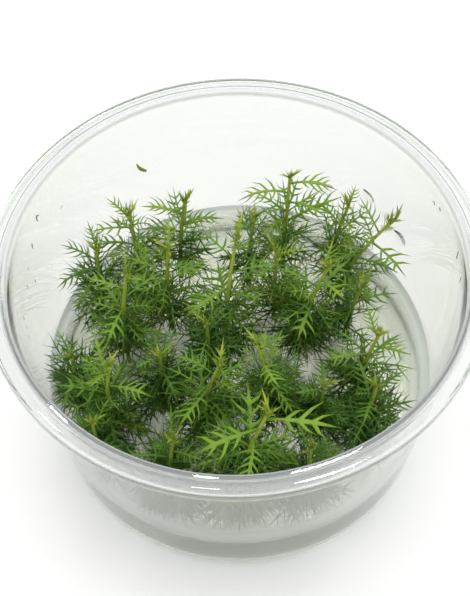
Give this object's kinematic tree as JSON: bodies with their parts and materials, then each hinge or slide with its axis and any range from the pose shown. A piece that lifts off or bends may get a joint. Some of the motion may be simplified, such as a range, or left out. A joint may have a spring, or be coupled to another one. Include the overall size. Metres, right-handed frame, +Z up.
{
  "type": "mermaid weed in a culture cup",
  "caption": "Mermaid weed shoots with comb-like leaves growing from a layer of clear gel in a round, clear, flat-bottomed culture cup with its lid off.",
  "frame": {"origin": "centre of the cup's flat base, on the surface that it stands on", "axes": "+Z up, out of the cup's mouth; the picture looks down along +Y, with +X to its right"},
  "size_m": [0.1, 0.1, 0.059],
  "materials": {
    "cup_plastic": "clear, glossy, moulded",
    "clear_gel": "clear, wet",
    "foliage_bright": "soft satin leaf",
    "foliage_dark": "soft satin leaf"
  },
  "bodies": {
    "root": {"cup": "cup_plastic", "culture_gel": "clear_gel", "shoot_centre_tall": "foliage_bright", "shoot_back_right_tall": "foliage_bright", "shoot_right_leaning": "foliage_dark", "shoot_front_centre": "foliage_bright", "shoot_left_yellow": "foliage_bright", "shoot_left_front": "foliage_bright", "shoot_back_left_tall": "foliage_dark", "shoot_left_upper": "foliage_dark", "shoot_left_mid": "foliage_bright", "shoot_right_back": "foliage_bright", "shoot_centre_left": "foliage_bright", "shoot_centre_young": "foliage_bright", "shoot_right_front_bright": "foliage_dark", "shoot_back_left_edge": "foliage_dark", "shoot_right_upper": "foliage_dark", "shoot_right_inner": "foliage_dark", "shoot_right_mid": "foliage_dark", "shoot_right_front_dark": "foliage_dark", "shoot_left_wall": "foliage_dark", "shoot_front_left_dark": "foliage_dark", "shoot_front_left_low": "foliage_dark", "shoot_front_right_low": "foliage_dark", "shoot_centre_low": "foliage_dark", "shoot_middle": "foliage_dark", "shoot_right_low": "foliage_dark", "shoot_back_mid": "foliage_dark", "shoot_back_left_low": "foliage_dark", "leaf_scrap": "foliage_bright"}
  },
  "joints": []
}
